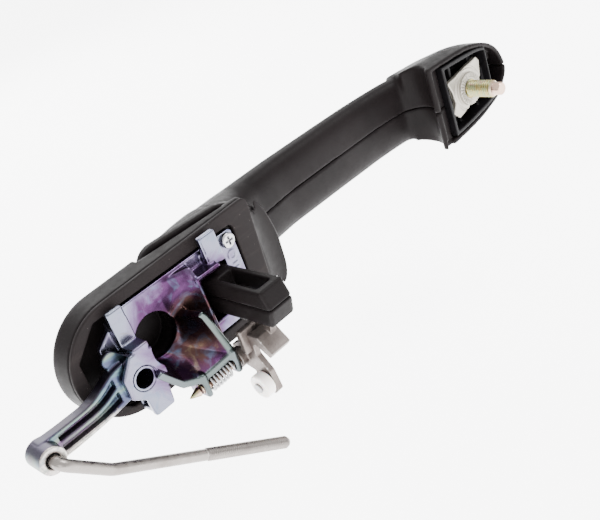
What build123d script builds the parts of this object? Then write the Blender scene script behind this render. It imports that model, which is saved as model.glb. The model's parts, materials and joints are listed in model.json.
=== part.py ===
from build123d import *
import os
from math import cos, radians, sin

# Outside handle of a side door, as it hangs on the door: +Z is up, the foot end points to -X,
# the street side faces -Y and the inside of the door is at +Y.
# The origin is the centre of the lock-cylinder bore, on the plane where the door skin sits.
# All lengths are in millimetres.

# --- driving dimensions -------------------------------------------------------------------
plate_half_height = 22.5
plate_front_rise = 1.8
plate_rear_centre_x = 12.5
plate_front_top_x = -58.0
plate_front_bottom_x = -55.0
plate_face_y = -10.0
plate_front_face_y = -4.8
flare_front_x = -72.0
flare_rim_y = -8.0
lock_zone_x = -9.5
lock_face_y = -12.5
gasket_thickness = 2.0
wall = 2.5

bore_diameter = 17.0
lock_passage_diameter = 19.0

carrier_screw_x = -42.5
carrier_screw_heights = (14.0, -14.0)
carrier_screw_diameter = 3.5
carrier_screw_end_y = -5.2

window_rear_x = -22.0
window_front_x = -38.6
window_half_height = 10.0

base_top_y = 0.5
base_half_height = 16.5
base_front_x = -46.0
base_rear_x = 21.0

funnel_top_y = 14.0

lock_lever_x = 15.5
lock_lever_z = -5.0
lever_sleeve_diameter = 9.0
lever_sleeve_bore = 7.2
eye_x = 56.5
eye_z = -6.5
eye_bore = 5.4
eye_diameter = 10.0

pin_y = 11.0
pin_z = -23.6
pin_diameter = 4.0
roller_y = 21.0
roller_z = -33.0
roller_diameter = 10.0
roller_pin_diameter = 3.0

arm_rear_x = -25.5
arm_front_x = -37.0
arm_half_height = 7.5
arm_end_y = 34.0

blade_half_height = 25.0
blade_tip_x = -11.5
blade_gap = 0.6
leaf_rim_y = -0.6
leaf_skirt_y = -13.5
leaf_tip_x = -233.0
leaf_lip_x = -176.5
scoop_x = -172.7
scoop_y = -12.5
scoop_diameter = 20.0
hinge_x = -223.0
hinge_y = -7.5
hinge_pin_diameter = 3.0

stud_x = -203.0
stud_z = 0.5
stud_diameter = 8.0
stud_collar_diameter = 8.8
stud_head_diameter = 13.0
stud_end_y = 17.0
dog_diameter = 6.0
dog_length = 4.5
nut_plate_bottom_y = -4.6
nut_plate_top_y = -2.2
nut_ring_top_y = -0.4

rod_shank_diameter = 4.4
rod_thread_diameter = 5.0
rod_hook_length = 14.0
rod_first_leg = 20.0
rod_plain_leg = 38.0
rod_thread_length = 41.0
rod_kink = 12.0
rod_slope = -46.0

running_gap = 0.05


# --- helpers -------------------------------------------------------------------------------
def door_plane(y):
    """Sketch plane at depth y: sketch x is X, sketch y is Z, extrusion runs towards -Y."""
    return Plane(origin=(0, y, 0), x_dir=(1, 0, 0), z_dir=(0, -1, 0))


def slab(sketch, y_low, y_high):
    """Prism of a sketch drawn in X and Z, between two depths."""
    return extrude(door_plane(y_high) * sketch, amount=y_high - y_low, dir=(0, -1, 0))


def outline(points, radius):
    """Closed outline with rounded corners."""
    return make_face(FilletPolyline(*points, radius=radius, close=True))


def disc(x, z, diameter):
    return Pos(x, z) * Circle(diameter / 2)


def rectangle(x0, x1, z0, z1):
    return Pos((x0 + x1) / 2, (z0 + z1) / 2) * Rectangle(abs(x1 - x0), abs(z1 - z0))


def box(x0, x1, y0, y1, z0, z1):
    return Pos((x0 + x1) / 2, (y0 + y1) / 2, (z0 + z1) / 2) * Box(abs(x1 - x0), abs(y1 - y0), abs(z1 - z0))


def rod_x(x0, x1, y, z, diameter):
    """Round bar along X."""
    return Plane(origin=(x0, y, z), z_dir=(1, 0, 0)) * extrude(Circle(diameter / 2), amount=x1 - x0)


def rod_z(x, y, z0, z1, diameter):
    """Round bar along Z."""
    return Pos(x, y, z0) * extrude(Circle(diameter / 2), amount=z1 - z0)


def round_edges(solid, edges, radius):
    """Fillet that keeps the sharp form where the edges are too short for the radius."""
    try:
        return fillet(edges, radius)
    except Exception:
        return solid


# --- lock plate and gasket -----------------------------------------------------------------
def plate_outline(grow):
    """Escutcheon outline: a half-round rear end, sides that spread forwards and a raked front end."""
    h = plate_half_height + grow
    front_h = h + plate_front_rise
    rear = plate_rear_centre_x
    top_front = plate_front_top_x
    bottom_front = plate_front_bottom_x
    edges = [
        Line((top_front + 3, front_h), (rear, h)),
        ThreePointArc((rear, h), (rear + h, 0), (rear, -h)),
        Line((rear, -h), (bottom_front + 3, -front_h)),
        ThreePointArc((bottom_front + 3, -front_h), (bottom_front + 0.9, -front_h + 0.9),
                      (bottom_front, -front_h + 3)),
        Line((bottom_front, -front_h + 3), (top_front, front_h - 3)),
        ThreePointArc((top_front, front_h - 3), (top_front + 0.9, front_h - 0.9), (top_front + 3, front_h)),
    ]
    return make_face(edges)


def flare_outline():
    """Rim of the flare in front of the gasket."""
    h = plate_half_height + plate_front_rise + 0.6
    tip = flare_front_x
    rim = Spline((-48, h), (tip + 8, h - 4.2), (tip, 0), (tip + 8, -h + 3.2), (-48, -h),
                 tangents=((-1, 0), (1, 0)))
    return make_face([rim, Line((-48, -h), (-48, h))])


def prism_z(points, half_height):
    """Prism of an outline drawn in X and Y, through the whole height."""
    return Pos(0, 0, -half_height) * extrude(Polygon(*points, align=None), amount=2 * half_height, dir=(0, 0, 1))


def below_plate(gap):
    """Everything on the street side of the plate's wedge-shaped back, ahead of the lock."""
    far = -60
    points = [(lock_zone_x, plate_face_y - gap), (plate_front_top_x + 1, plate_front_face_y - gap),
              (flare_front_x - 8, plate_front_face_y - 8.8 - gap), (flare_front_x - 8, far), (lock_zone_x, far)]
    return prism_z(points, 40)


def window():
    return rectangle(window_front_x, window_rear_x, -window_half_height, window_half_height)


def lock_face():
    """Blank cap over the lock, a step prouder than the rest of the plate."""
    width = 2 * plate_half_height + 1.6
    face = slab(disc(plate_rear_centre_x, 0, width), lock_face_y, plate_face_y)
    face += slab(rectangle(lock_zone_x, plate_rear_centre_x, -width / 2, width / 2), lock_face_y, plate_face_y)
    return face


def lock_plate():
    body = loft([door_plane(plate_face_y) * plate_outline(0.8), door_plane(-gasket_thickness) * plate_outline(0.0)])
    body += lock_face()
    body = round_edges(body, body.faces().sort_by(Axis.Y)[0].edges(), 2.0)
    front = rectangle(-54, -48, -plate_half_height, plate_half_height)
    body += loft([door_plane(-gasket_thickness) * front, door_plane(flare_rim_y) * flare_outline()])
    body += slab(flare_outline(), flare_rim_y - 4, flare_rim_y)
    body -= below_plate(0)
    hollow = outline([(-14, 18), (12, 18.5), (28, 12), (28, -12), (12, -18.5), (-14, -18)], 4.0)
    body -= slab(hollow, plate_face_y + wall, -gasket_thickness)
    body += slab(disc(0, 0, lock_passage_diameter + 5), plate_face_y, -gasket_thickness)
    body -= slab(disc(0, 0, lock_passage_diameter), plate_face_y, 0)
    body -= slab(rectangle(window_front_x - 2.5, window_rear_x, -window_half_height, window_half_height),
                 lock_face_y - 1, 0)
    for z in carrier_screw_heights:
        body -= slab(disc(carrier_screw_x, z, carrier_screw_diameter - 0.02), carrier_screw_end_y, 0)
    return body


def gasket_window():
    h = plate_half_height - 5.5
    return outline([(-47.4, h), (19, h), (29, 8), (29, -8), (19, -h), (-46.4, -h)], 2.0)


def plate_gasket():
    ring = slab(plate_outline(0.0), -gasket_thickness, 0)
    return ring - slab(gasket_window(), -gasket_thickness - 1, 1)


# --- die-cast carrier ----------------------------------------------------------------------
def carrier_base():
    base = slab(outline([(base_front_x, base_half_height), (base_rear_x - 12, base_half_height),
                         (base_rear_x, 8), (base_rear_x, -10), (base_rear_x - 8, -base_half_height),
                         (base_front_x, -base_half_height)], 1.5), -gasket_thickness, base_top_y)
    rim = rectangle(-37.0, window_rear_x + 2.2, -window_half_height - 1.6, window_half_height + 1.6)
    base += slab(rim, -gasket_thickness, 3.5)
    return base


def funnel():
    """Flared wall that rises below and in front of the bore and carries the release pin."""
    rim_outer = [(12, -6), (5, -16), (-3, -19.8), (-20, -19.8), (-14, 2), (-9, 9), (6, 9)]
    rim_inner = [(10, -5), (4, -13.6), (-3.4, -17.3), (-16.8, -17.3), (-11.8, 1.5), (-8, 7), (5, 7)]
    outer = loft([door_plane(base_top_y - 1) * Circle(11.4), door_plane(funnel_top_y) * outline(rim_outer, 1.8)])
    inner = loft([door_plane(base_top_y - 1) * Circle(bore_diameter / 2 + 0.2),
                  door_plane(funnel_top_y + 0.5) * outline(rim_inner, 1.4)])
    kept_side = slab(Polygon((14, -6.5), (-15, 4.5), (-40, 4.5), (-40, -40), (14, -40), align=None),
                     base_top_y - 1, funnel_top_y + 1)
    hub_room = slab(disc(lock_lever_x, lock_lever_z, 16.2), base_top_y, 8.4)
    return ((outer - inner) & kept_side) - hub_room


def lug(x0, x1, root_z, tip_z):
    """Hook that reaches over the edge of the door skin."""
    hook = box(x0, x1, 1.6, 4.2, root_z, tip_z)
    hook += box(x0, x1, -gasket_thickness, 4.2, root_z, base_half_height - 1.0)
    return hook


def lever_bridge():
    """Strap across the lock lever: legs at the upper lug and at the lower edge, an eye plate between."""
    plate = slab(outline([(6.8, 3.2), (17, 5.4), (22.5, -1), (22.5, -9), (17.5, -12.6), (17.0, -20.4),
                          (9.4, -20.4), (8.6, -13), (6.8, -11)], 1.2), 8.4, 10.8)
    leg = box(9.4, 17.0, 0.8, 10.8, -20.4, -18.0)
    leg += box(9.4, 17.0, 0.8, 2.6, -18.5, -15.0)
    leg += box(9.4, 13.0, base_top_y - 1, 2.6, -16.0, -14.0)
    neck = slab(Polygon((8.6, 2.5), (15.4, 4.6), (15.4, 12), (8.6, 12), align=None), 1.6, 4.2)
    riser = box(8.6, 15.4, 1.6, 10.8, 4.2, 6.6)
    return plate + leg + neck + riser


def pin_posts():
    """Two posts that carry the release lever's pin below the funnel."""
    posts = Part()
    for x0, x1 in ((-4.2, -1.8), (-19.6, -16.8)):
        post = box(x0, x1, 3.5, pin_y + 4.0, pin_z - 3.2, -16.5)
        posts += round_edges(post, post.edges().filter_by(Axis.X), 1.4)
    return posts


def lock_carrier():
    body = carrier_base() + funnel()
    body += lug(-37.0, -29.0, 9.0, plate_half_height + 0.4)
    body += lug(8.6, 15.4, 4.2, 20.0)
    body += lever_bridge()
    body += pin_posts()
    body -= slab(disc(0, 0, bore_diameter), -5, base_top_y + 6)
    body -= slab(disc(0, 0, bore_diameter + 0.4), base_top_y + 5, 12)
    body -= slab(window(), -5, 8)
    body -= slab(disc(lock_lever_x, lock_lever_z, lever_sleeve_diameter), -5, 12)
    body -= rod_x(-30, 6, pin_y, pin_z, pin_diameter)
    for z in carrier_screw_heights:
        body -= slab(disc(carrier_screw_x, z, carrier_screw_diameter + 0.4), -5, 8)
    return body


def carrier_screws():
    screws = []
    for z in carrier_screw_heights:
        head = slab(disc(carrier_screw_x, z, 6.2), base_top_y, base_top_y + 1.8)
        head = round_edges(head, head.edges().sort_by(Axis.Y)[-1:], 0.8)
        shank = slab(disc(carrier_screw_x, z, carrier_screw_diameter - 0.1), carrier_screw_end_y + 0.2,
                     base_top_y)
        cross = box(carrier_screw_x - 1.8, carrier_screw_x + 1.8, base_top_y + 0.6, 4, z - 0.4, z + 0.4)
        cross += box(carrier_screw_x - 0.4, carrier_screw_x + 0.4, base_top_y + 0.6, 4, z - 1.8, z + 1.8)
        screws.append(head + shank - cross)
    return Compound(children=screws)


# --- lock lever, its sleeve and spring -----------------------------------------------------
def lever_sleeve():
    tube = slab(disc(lock_lever_x, lock_lever_z, lever_sleeve_diameter), -gasket_thickness, 10.8)
    return tube - slab(disc(lock_lever_x, lock_lever_z, lever_sleeve_bore), -5, 12)


def lock_lever():
    """Cast lever from the lock to the rod: hub, stop lobe, channelled arm and eye."""
    hub = slab(disc(lock_lever_x, lock_lever_z, 14.5), 2.9, 7.9)
    lobe = slab(make_hull([disc(lock_lever_x + 1.5, lock_lever_z + 3, 9).edge(),
                           disc(21.5, 5.6, 6.4).edge()]), 2.9, 5.4)
    arm_shape = Polygon((19.0, 1.6), (31, 1.0), (44, -0.9), (eye_x, -1.6), (eye_x, -11.4), (45, -11.6),
                        (31, -12.2), (20.0, -11.0), align=None)
    arm = slab(arm_shape, 2.9, 7.9)
    channel_top = Polygon((24.0, -0.6), (31, -0.9), (44, -2.7), (49.5, -3.2), (49.5, -5.6), (31, -4.6),
                          (24, -4.0), align=None)
    channel_low = Polygon((24.0, -5.8), (31, -6.4), (49.5, -7.4), (49.5, -9.8), (45, -10.0), (31, -10.4),
                          (24, -9.4), align=None)
    arm -= slab(channel_top, 5.0, 9) + slab(channel_low, 5.0, 9)
    eye = slab(disc(eye_x, eye_z, eye_diameter), 2.4, 13.0)
    body = hub + lobe + arm + eye
    body -= slab(disc(lock_lever_x, lock_lever_z, lever_sleeve_diameter + 2 * running_gap), -5, 20)
    body -= slab(disc(eye_x, eye_z, eye_bore), -5, 20)
    return body


def torsion_wire(centre, axis, coil_radius, wire, start, end, turns):
    """Close-wound coil along an axis, given as a helix swept by a round wire."""
    pitch = (end - start) / turns
    path = Helix(pitch=pitch, height=end - start, radius=coil_radius)
    section = Plane(origin=path @ 0, z_dir=path % 0) * Circle(wire / 2)
    coil = sweep(section, path=path)
    if axis == "Y":
        return Plane(origin=(centre[0], start, centre[1]), x_dir=(1, 0, 0), z_dir=(0, 1, 0)) * coil
    return Plane(origin=(start, centre[0], centre[1]), x_dir=(0, 1, 0), z_dir=(1, 0, 0)) * coil


def lock_lever_spring():
    """Flat coil round the sleeve, between the carrier and the lever."""
    return torsion_wire((lock_lever_x, lock_lever_z), "Y", 5.7, 0.9, base_top_y + 0.55, 2.35, 1.8)


# --- release lever group -------------------------------------------------------------------
def release_pin():
    """Headed pin with a pointed end, fixed in the carrier's posts."""
    shaft = rod_x(-26.8, -0.5, pin_y, pin_z, pin_diameter - 0.02)
    point = Plane(origin=(-0.5, pin_y, pin_z), z_dir=(1, 0, 0)) * loft(
        [Circle(1.9), Pos(0, 0, 4.2) * Circle(0.25)])
    head = rod_x(-29.2, -26.8, pin_y, pin_z, 6.4)
    return shaft + point + head


def release_spring():
    return torsion_wire((pin_y, pin_z), "X", 3.0, 1.1, -15.9, -5.0, 6.5)


def release_profile():
    """Lever seen along the pin: finger, hub and roller arm."""
    return outline([(pin_y - 4.2, pin_z - 3.4), (pin_y - 4.0, pin_z + 4.2), (15.5, -15.0), (19.5, -12.4),
                    (25.0, -12.4), (25.2, -14.6), (21.0, -17.0), (20.4, -21.5), (24.6, -28.0), (25.6, -36.5),
                    (22.5, -39.0), (18.5, -37.5), (15.5, -29.5)], 1.2)


def side_slab(sketch, x0, x1):
    """Prism of a sketch drawn in Y and Z, between two X stations."""
    face = Plane(origin=(x0, 0, 0), x_dir=(0, 1, 0), z_dir=(1, 0, 0)) * sketch
    return extrude(face, amount=x1 - x0, dir=(1, 0, 0))


def release_lever():
    body = side_slab(release_profile(), -25.8, -23.2)
    flange = outline([(16.6, -15.6), (19.5, -12.4), (25.0, -12.4), (30.5, -18.6), (28.6, -20.6),
                      (21.6, -15.4)], 0.5)
    body += side_slab(flange, -33.0, -23.2)
    finger = outline([(26.9, -1.2), (29.4, -1.2), (29.4, -6.2), (26.4, -14.0), (22.4, -13.6), (23.8, -9.5)], 0.6)
    body += side_slab(finger, -31.6, -28.8)
    body += rod_x(-26.4, -20.2, pin_y, pin_z, 7.6)
    body -= rod_x(-30, -10, pin_y, pin_z, pin_diameter + 2 * running_gap - 0.02)
    body -= rod_x(-30, -10, roller_y, roller_z, roller_pin_diameter)
    return body


def roller_pin():
    shaft = rod_x(-25.8, -18.4, roller_y, roller_z, roller_pin_diameter)
    head = rod_x(-18.4, -17.8, roller_y, roller_z, 4.0)
    return shaft + head


def release_roller():
    """White cap that rolls on the latch lever."""
    body = rod_x(-22.9, -18.7, roller_y, roller_z, roller_diameter)
    body = round_edges(body, body.edges().filter_by(GeomType.CIRCLE), 0.8)
    return body - rod_x(-30, -10, roller_y, roller_z, roller_pin_diameter + 2 * running_gap)


# --- grip ------------------------------------------------------------------------------------
def rounded(width, height, radius):
    return RectangleRounded(width, height, radius)


def bar_section(x, y, turn, depth, half_height, radius):
    """Cross-section of the bar: square to a path direction that is turned about Z."""
    along = (-cos(radians(turn)), sin(radians(turn)), 0)
    across = (sin(radians(turn)), cos(radians(turn)), 0)
    plane = Plane(origin=(x, y, 0), x_dir=across, z_dir=along)
    return plane * rounded(depth, 2 * half_height, radius)


def grip_bar():
    stations = [
        (-40, -21.0, 0, 15.0, 20.5, 7.3),
        (-60, -27.5, -14, 15.4, 18.0, 7.4),
        (-80, -32.0, -6, 15.5, 16.6, 7.4),
        (-100, -33.2, 0, 16.2, 16.1, 7.6),
        (-131, -32.6, 1, 15.6, 16.1, 7.5),
        (-158, -31.6, 3, 14.6, 16.1, 7.0),
        (-174, -29.9, 9, 14.4, 16.1, 6.5),
        (-190, -25.0, 22, 16.0, 16.0, 6.5),
    ]
    return loft([bar_section(*station) for station in stations])


def blade_outline(inset):
    h = blade_half_height - inset
    tip = blade_tip_x - inset
    heel = -68 + inset
    edges = [
        Spline((tip, 0), (tip - 0.4, h - 7), (tip - 6, h), tangents=((0, 1), (-1, 0))),
        Line((tip - 6, h), (-48, h)),
        Spline((-48, h), (-58, h - 4), (heel, 12), tangents=((-1, 0), (-0.2, -1))),
        Line((heel, 12), (heel, -12)),
        Spline((heel, -12), (-58, -h + 4), (-48, -h), tangents=((0.2, -1), (1, 0))),
        Line((-48, -h), (tip - 6, -h)),
        Spline((tip - 6, -h), (tip - 0.4, -h + 7), (tip, 0), tangents=((1, 0), (0, 1))),
    ]
    return make_face(edges)


def grip_blade():
    """Flat end of the grip that lies over the lock plate and closes against its wedge-shaped back."""
    rim_y = -11.5
    blade = loft([door_plane(-22.5) * blade_outline(5.5), door_plane(rim_y) * blade_outline(0.0)])
    blade += slab(blade_outline(0.0), rim_y, -3)
    return blade & below_plate(blade_gap)


def leaf_outline(inset):
    """Foot outline: blunt at the lip, pointed at the far end, fuller above the middle than below."""
    tip = leaf_tip_x + inset
    lip = leaf_lip_x - inset
    top = 21.8 - inset
    bottom = -19.0 + inset
    edges = [
        Spline((lip, top), (-205, 20.4 - inset), (-223, 15.0 - inset * 0.95), (tip + 1.4, 5.0),
               tangents=((-1, -0.02), (-0.45, -1))),
        Spline((tip + 1.4, 5.0), (tip, -0.8), (tip + 1.8, -5.6), tangents=((-0.45, -1), (0.6, -1))),
        Spline((tip + 1.8, -5.6), (-224, -12.0 + inset * 0.9), (-205, -17.0 + inset), (lip, bottom),
               tangents=((0.6, -1), (1, -0.06))),
        Line((lip, bottom), (lip, top)),
    ]
    return make_face(edges)


def grip_foot():
    """Leaf-shaped foot with a lofted shoulder up to the bar and a scoop under its lip."""
    shoulder = Polygon((-180, 13.5), (-200, 13), (-212, 9.5), (-216, 4), (-216, -4), (-212, -9.5), (-200, -13),
                       (-180, -13.5), align=None)
    shoulder = fillet(shoulder.vertices(), 3)
    skirt = slab(leaf_outline(0.0), leaf_skirt_y, leaf_rim_y)
    foot = skirt + loft([door_plane(leaf_skirt_y) * leaf_outline(0.0), door_plane(-32.0) * shoulder])
    return foot - rod_z(scoop_x, scoop_y, -40, 40, scoop_diameter)


def hook_arm():
    """Hollow arm that reaches through the plate and pulls the release lever."""
    profile = Polygon((arm_end_y, arm_half_height), (arm_end_y + 2.3, 0), (arm_end_y, -arm_half_height),
                      (-16, -arm_half_height), (-16, arm_half_height), align=None)
    arm = side_slab(profile, arm_front_x, arm_rear_x)
    slot = box(-34.6, -27.8, 8.0, 30.2, -20, 20)
    return arm - slot


def grip():
    body = grip_bar() + grip_blade() + grip_foot() + hook_arm()
    body -= slab(leaf_outline(2.4), -3, 0)
    body -= slab(leaf_outline(2.4), leaf_skirt_y, 0) & box(-260, leaf_lip_x - 8.3, -20, 1, -30, 30)
    bearing = box(hinge_x - 3.6, hinge_x + 3.6, leaf_skirt_y - 1, hinge_y + 3.2, -13, 13)
    bearing &= slab(leaf_outline(1.0), leaf_skirt_y - 1, 0)
    bearing -= box(hinge_x - 8, hinge_x + 8, leaf_skirt_y - 2, 0, -5.4, 5.4)
    body += bearing
    body -= rod_z(hinge_x, hinge_y, -7.6, 7.6, hinge_pin_diameter)
    body -= box(leaf_lip_x - 6.0, leaf_lip_x - 1.2, -2.6, 1, -26, -15)
    return body


def grip_core():
    """Hollow inside the bar."""
    stations = [
        (-84, -32.4, -4, 10.5, 13.5, 4.6),
        (-100, -33.2, 0, 11.2, 13.1, 5.0),
        (-131, -32.6, 1, 10.6, 13.1, 5.0),
        (-158, -31.6, 3, 9.6, 13.1, 4.4),
    ]
    return loft([bar_section(*station) for station in stations])


def grip_halves():
    whole = grip() - grip_core()
    big = 300
    upper = whole & box(-260, 60, -big, big, 0, big)
    lower = whole & box(-260, 60, -big, big, -big, 0)
    return upper, lower


# --- foot pieces ---------------------------------------------------------------------------
def foot_insert():
    """Pocketed tray inside the leaf that holds the nut plate and the grip's hinge pin."""
    tray_outline = slab(leaf_outline(3.0), -12.5, leaf_rim_y + 0.4)
    body = tray_outline & box(-240, -185.0, -20, 5, -30, 30)
    body -= box(-240, hinge_x + 4.0, -20, 5, -30, 30)
    pocket = slab(leaf_outline(4.8), -9.5, 1) & box(-218.2, -186.8, -20, 5, -30, 30)
    body -= pocket
    for x in (-195.5, -210.5):
        body += slab(leaf_outline(4.0), -11, nut_plate_bottom_y) & box(x - 0.8, x + 0.8, -20, 5, -30, 30)
    body += slab(disc(stud_x, stud_z, 19), -11, nut_plate_bottom_y)
    knuckle = rod_z(hinge_x, hinge_y, -5.0, 5.0, 6.4) + box(hinge_x, hinge_x + 6, hinge_y - 3.2, hinge_y + 3.2, -5, 5)
    body += knuckle
    body -= rod_z(hinge_x, hinge_y, -20, 20, hinge_pin_diameter + 2 * running_gap)
    body -= slab(disc(stud_x, stud_z, stud_collar_diameter), -10.6, 1)
    body -= slab(disc(stud_x, stud_z, stud_head_diameter), -10.6, -6.4)
    return body


def foot_nut_plate():
    plate = slab(outline([(-189.8, 8.6), (-194.0, 8.9), (-214.0, 11.6), (-215.4, 9.6), (-213.5, 2.0),
                          (-200.0, -8.2), (-192.4, -9.6), (-189.4, -6.6), (-192.4, -2.4), (-191.6, 4.0)], 0.6),
                 nut_plate_bottom_y, nut_plate_top_y)
    plate += slab(disc(stud_x, stud_z, 15.5), nut_plate_bottom_y, nut_ring_top_y)
    return plate - slab(disc(stud_x, stud_z, stud_collar_diameter), -20, 5)


def foot_stud():
    """Stud with a dog point; its head sits under the nut plate."""
    head = slab(disc(stud_x, stud_z, stud_head_diameter - 0.4), -9.4, -6.4)
    neck = slab(disc(stud_x, stud_z, stud_collar_diameter), -6.4, nut_ring_top_y)
    neck += slab(disc(stud_x, stud_z, stud_diameter), nut_ring_top_y, stud_end_y - dog_length)
    dog = slab(disc(stud_x, stud_z, dog_diameter), stud_end_y - dog_length, stud_end_y)
    dog = round_edges(dog, dog.edges().sort_by(Axis.Y)[-1:], 0.6)
    return head + neck + dog


def hinge_pin():
    return rod_z(hinge_x, hinge_y, -7.4, 7.4, hinge_pin_diameter)


# --- pull rod --------------------------------------------------------------------------------
def polar(angle, length):
    return (-length * cos(radians(angle)), length * sin(radians(angle)))


def pull_rod():
    """Bent rod hooked in the lever's eye, with a threaded end."""
    rod_y = 17.0
    first = polar(rod_slope, rod_first_leg)
    kink = (eye_x + first[0], eye_z + first[1])
    second = polar(rod_slope + rod_kink, rod_plain_leg)
    end = (kink[0] + second[0], kink[1] + second[1])
    path = FilletPolyline((eye_x, rod_y - rod_hook_length, eye_z), (eye_x, rod_y, eye_z),
                          (kink[0], rod_y, kink[1]), (end[0], rod_y, end[1]), radius=[3.4, 12.0])
    section = Plane(origin=path @ 0, z_dir=path % 0) * Circle(rod_shank_diameter / 2)
    body = sweep(section, path=path)
    along = (second[0], 0, second[1])
    thread = Plane(origin=(end[0], rod_y, end[1]), z_dir=along) * extrude(
        Circle(rod_thread_diameter / 2), amount=rod_thread_length)
    thread = round_edges(thread, thread.edges().filter_by(GeomType.CIRCLE).sort_by(Axis.X)[:1], 0.8)
    return body + thread


# --- write the parts ---------------------------------------------------------------------------
grip_upper_half, grip_lower_half = grip_halves()

parts = {
    "lock_plate": lock_plate(),
    "plate_gasket": plate_gasket(),
    "lock_carrier": lock_carrier(),
    "carrier_screws": carrier_screws(),
    "lever_sleeve": lever_sleeve(),
    "lock_lever": lock_lever(),
    "lock_lever_spring": lock_lever_spring(),
    "release_pin": release_pin(),
    "release_spring": release_spring(),
    "release_lever": release_lever(),
    "roller_pin": roller_pin(),
    "release_roller": release_roller(),
    "grip_upper_half": grip_upper_half,
    "grip_lower_half": grip_lower_half,
    "foot_insert": foot_insert(),
    "foot_nut_plate": foot_nut_plate(),
    "foot_stud": foot_stud(),
    "grip_hinge_pin": hinge_pin(),
    "pull_rod": pull_rod(),
}

os.makedirs("parts", exist_ok=True)
for name, shape in parts.items():
    export_step(shape, "parts/" + name + ".step")
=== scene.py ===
import json
from math import ceil, cos, pi, radians, sin

import bpy
import numpy as np
from mathutils import Matrix, Vector

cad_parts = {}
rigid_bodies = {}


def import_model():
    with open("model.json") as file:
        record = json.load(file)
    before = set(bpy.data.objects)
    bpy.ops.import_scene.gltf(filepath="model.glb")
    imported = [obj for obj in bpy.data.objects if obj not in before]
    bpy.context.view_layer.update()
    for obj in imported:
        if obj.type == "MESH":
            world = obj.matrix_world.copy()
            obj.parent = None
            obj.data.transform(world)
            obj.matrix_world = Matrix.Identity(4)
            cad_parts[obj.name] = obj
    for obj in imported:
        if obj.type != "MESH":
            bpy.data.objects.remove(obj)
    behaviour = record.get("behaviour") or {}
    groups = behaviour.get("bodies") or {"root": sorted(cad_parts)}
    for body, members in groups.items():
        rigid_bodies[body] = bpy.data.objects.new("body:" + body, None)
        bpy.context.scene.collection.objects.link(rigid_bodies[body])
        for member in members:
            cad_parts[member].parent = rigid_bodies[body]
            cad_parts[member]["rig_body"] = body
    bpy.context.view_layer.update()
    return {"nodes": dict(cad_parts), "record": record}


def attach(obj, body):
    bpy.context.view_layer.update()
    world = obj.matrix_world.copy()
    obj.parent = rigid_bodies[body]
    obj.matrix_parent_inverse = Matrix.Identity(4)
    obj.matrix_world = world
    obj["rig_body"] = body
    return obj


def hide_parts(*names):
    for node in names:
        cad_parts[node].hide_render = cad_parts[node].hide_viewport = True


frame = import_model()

MM = 0.001

# --- camera, floor and light --------------------------------------------------------------
CAMERA_PLACE = Vector((0.1218, 0.2624, 0.1544))
CAMERA_AZIMUTH = 143.56
CAMERA_ELEVATION = 27.30
CAMERA_ROLL = -20.2
LENS = 54.0
FLOOR_Z = -0.110
HORIZON_GLOW = 2.2
ZENITH_GLOW = 2.2
FLOOR_GLOW = 5.0
FLOOR_HALF_WIDTH = 25.0
LIGHT_TARGET = (-0.08, 0.0, 0.0)
# name, place, disc diameter, watts
LIGHTS = (
    ("key_light", (-0.55, 0.35, 0.95), 0.6, 12.0),
    ("fill_light", (0.9, 0.7, 0.35), 0.7, 5.0),
    ("street_light", (-0.3, -0.9, 0.6), 0.9, 12.0),
)


def add_camera():
    a = radians(CAMERA_AZIMUTH)
    e = radians(CAMERA_ELEVATION)
    towards = Vector((sin(a) * cos(e), -cos(a) * cos(e), sin(e)))
    turn = towards.to_track_quat("Z", "Y").to_matrix().to_4x4()
    roll = Matrix.Rotation(radians(CAMERA_ROLL), 4, "Z")
    data = bpy.data.cameras.new("photo_camera")
    data.lens = LENS
    data.sensor_width = 36.0
    data.clip_start = 0.01
    data.clip_end = 60.0
    camera = bpy.data.objects.new("photo_camera", data)
    camera.matrix_world = Matrix.Translation(CAMERA_PLACE) @ turn @ roll
    bpy.context.scene.collection.objects.link(camera)
    bpy.context.scene.camera = camera


def add_area_light(name, place, target, size, watts):
    data = bpy.data.lights.new(name, "AREA")
    data.shape = "DISK"
    data.size = size
    data.energy = watts
    lamp = bpy.data.objects.new(name, data)
    lamp.location = place
    lamp.rotation_euler = (Vector(target) - Vector(place)).to_track_quat("-Z", "Y").to_euler()
    bpy.context.scene.collection.objects.link(lamp)


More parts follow.
